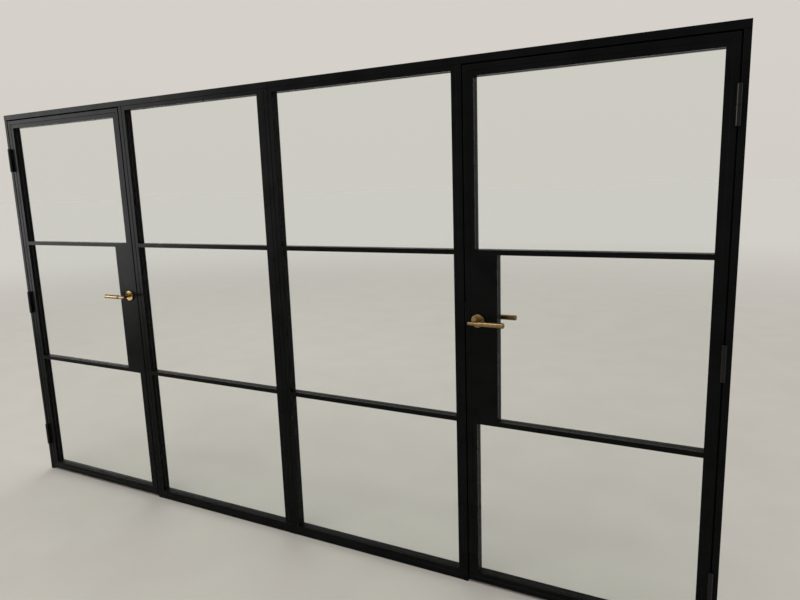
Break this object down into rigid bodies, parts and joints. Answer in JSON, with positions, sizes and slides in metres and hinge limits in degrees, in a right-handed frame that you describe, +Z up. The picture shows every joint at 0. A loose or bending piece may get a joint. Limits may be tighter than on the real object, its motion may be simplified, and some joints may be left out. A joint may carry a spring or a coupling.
{
  "type": "glazed steel screen with doors",
  "caption": "Black steel-framed internal glazed screen in its own frame: a hinged single door at each end, fixed lights between, glazing bars, and brass lever handles with latches.",
  "frame": {"origin": "floor level, at the middle of the screen's width and of its depth", "axes": "+X along the screen to the right as seen from the side the doors open to, +Y away from that side, +Z up"},
  "size_m": [3.5, 0.169, 2],
  "materials": {
    "black_steel": "satin powder coat",
    "float_glass": "clear toughened float glass",
    "satin_brass": "satin brushed",
    "lock_steel": "bright zinc plate",
    "black_rubber": "matt",
    "setting_block": "moulded"
  },
  "bodies": {
    "frame": {"head": "black_steel", "light_gaskets": "black_rubber", "light_setting_blocks": "setting_block", "door_stops": "black_steel", "door_seals": "black_rubber", "strike_plate": "lock_steel", "frame_knuckles": "black_steel", "hinge_pins": "lock_steel", "light_front_beads": "black_steel", "light_rear_beads": "black_steel", "jamb_right": "black_steel", "jamb_left": "black_steel", "mullion_right": "black_steel", "mullion_left": "black_steel", "centre_mullion_right": "black_steel", "centre_mullion_left": "black_steel", "sill_right": "black_steel", "sill_left": "black_steel", "light_bars_right": "black_steel", "light_bars_left": "black_steel", "light_panes_right": "float_glass", "light_panes_left": "float_glass"},
    "door_right": {"lock_stile_right": "black_steel", "hinge_stile_right": "black_steel", "bottom_rail_right": "black_steel", "top_rail_right": "black_steel", "door_front_beads_right": "black_steel", "door_rear_beads_right": "black_steel", "door_bars_right": "black_steel", "door_panes_right": "float_glass", "door_gaskets_right": "black_rubber", "door_setting_blocks_right": "setting_block", "leaf_knuckles_right": "black_steel", "lock_panel_right": "black_steel", "lock_case_right": "lock_steel", "roses_right": "satin_brass"},
    "handle_right": {"lever_front_right": "satin_brass", "lever_rear_right": "satin_brass", "spindle_right": "lock_steel", "follower_right": "lock_steel"},
    "latch_bolt_right": {"latch_right": "lock_steel"},
    "door_left": {"lock_stile_left": "black_steel", "hinge_stile_left": "black_steel", "bottom_rail_left": "black_steel", "top_rail_left": "black_steel", "door_front_beads_left": "black_steel", "door_rear_beads_left": "black_steel", "door_bars_left": "black_steel", "door_panes_left": "float_glass", "door_gaskets_left": "black_rubber", "door_setting_blocks_left": "setting_block", "leaf_knuckles_left": "black_steel", "lock_panel_left": "black_steel", "lock_case_left": "lock_steel", "roses_left": "satin_brass"},
    "handle_left": {"lever_front_left": "satin_brass", "lever_rear_left": "satin_brass", "spindle_left": "lock_steel", "follower_left": "lock_steel"},
    "latch_bolt_left": {"latch_left": "lock_steel"}
  },
  "joints": [
    {"name": "door_swing_right", "type": "hinge", "parent": "frame", "child": "door_right", "pos_m": [1.727, -0.031, 0], "axis": [0, 0, 1], "range_deg": [0, 110]},
    {"name": "handle_turn_right", "type": "hinge", "parent": "door_right", "child": "handle_right", "pos_m": [0.92, 0, 1.06967], "axis": [0, 1, 0], "range_deg": [0, 45], "stiffness_Nm_per_rad": 1, "springref_deg": -28.65},
    {"name": "latch_slide_right", "type": "slide", "parent": "door_right", "child": "latch_bolt_right", "axis": [1, 0, 0], "range_m": [0, 0.012]},
    {"name": "door_swing_left", "type": "hinge", "parent": "frame", "child": "door_left", "pos_m": [-1.727, -0.031, 0], "axis": [0, 0, -1], "range_deg": [0, 110]},
    {"name": "handle_turn_left", "type": "hinge", "parent": "door_left", "child": "handle_left", "pos_m": [-0.92, 0, 1.06967], "axis": [0, -1, 0], "range_deg": [0, 45], "stiffness_Nm_per_rad": 1, "springref_deg": -28.65},
    {"name": "latch_slide_left", "type": "slide", "parent": "door_left", "child": "latch_bolt_left", "axis": [-1, 0, 0], "range_m": [0, 0.012]}
  ],
  "couplings": [
    {"joint": "latch_slide_right", "follows": "handle_turn_right", "m_per_rad": 0.01527},
    {"joint": "latch_slide_left", "follows": "handle_turn_left", "m_per_rad": 0.01527}
  ]
}
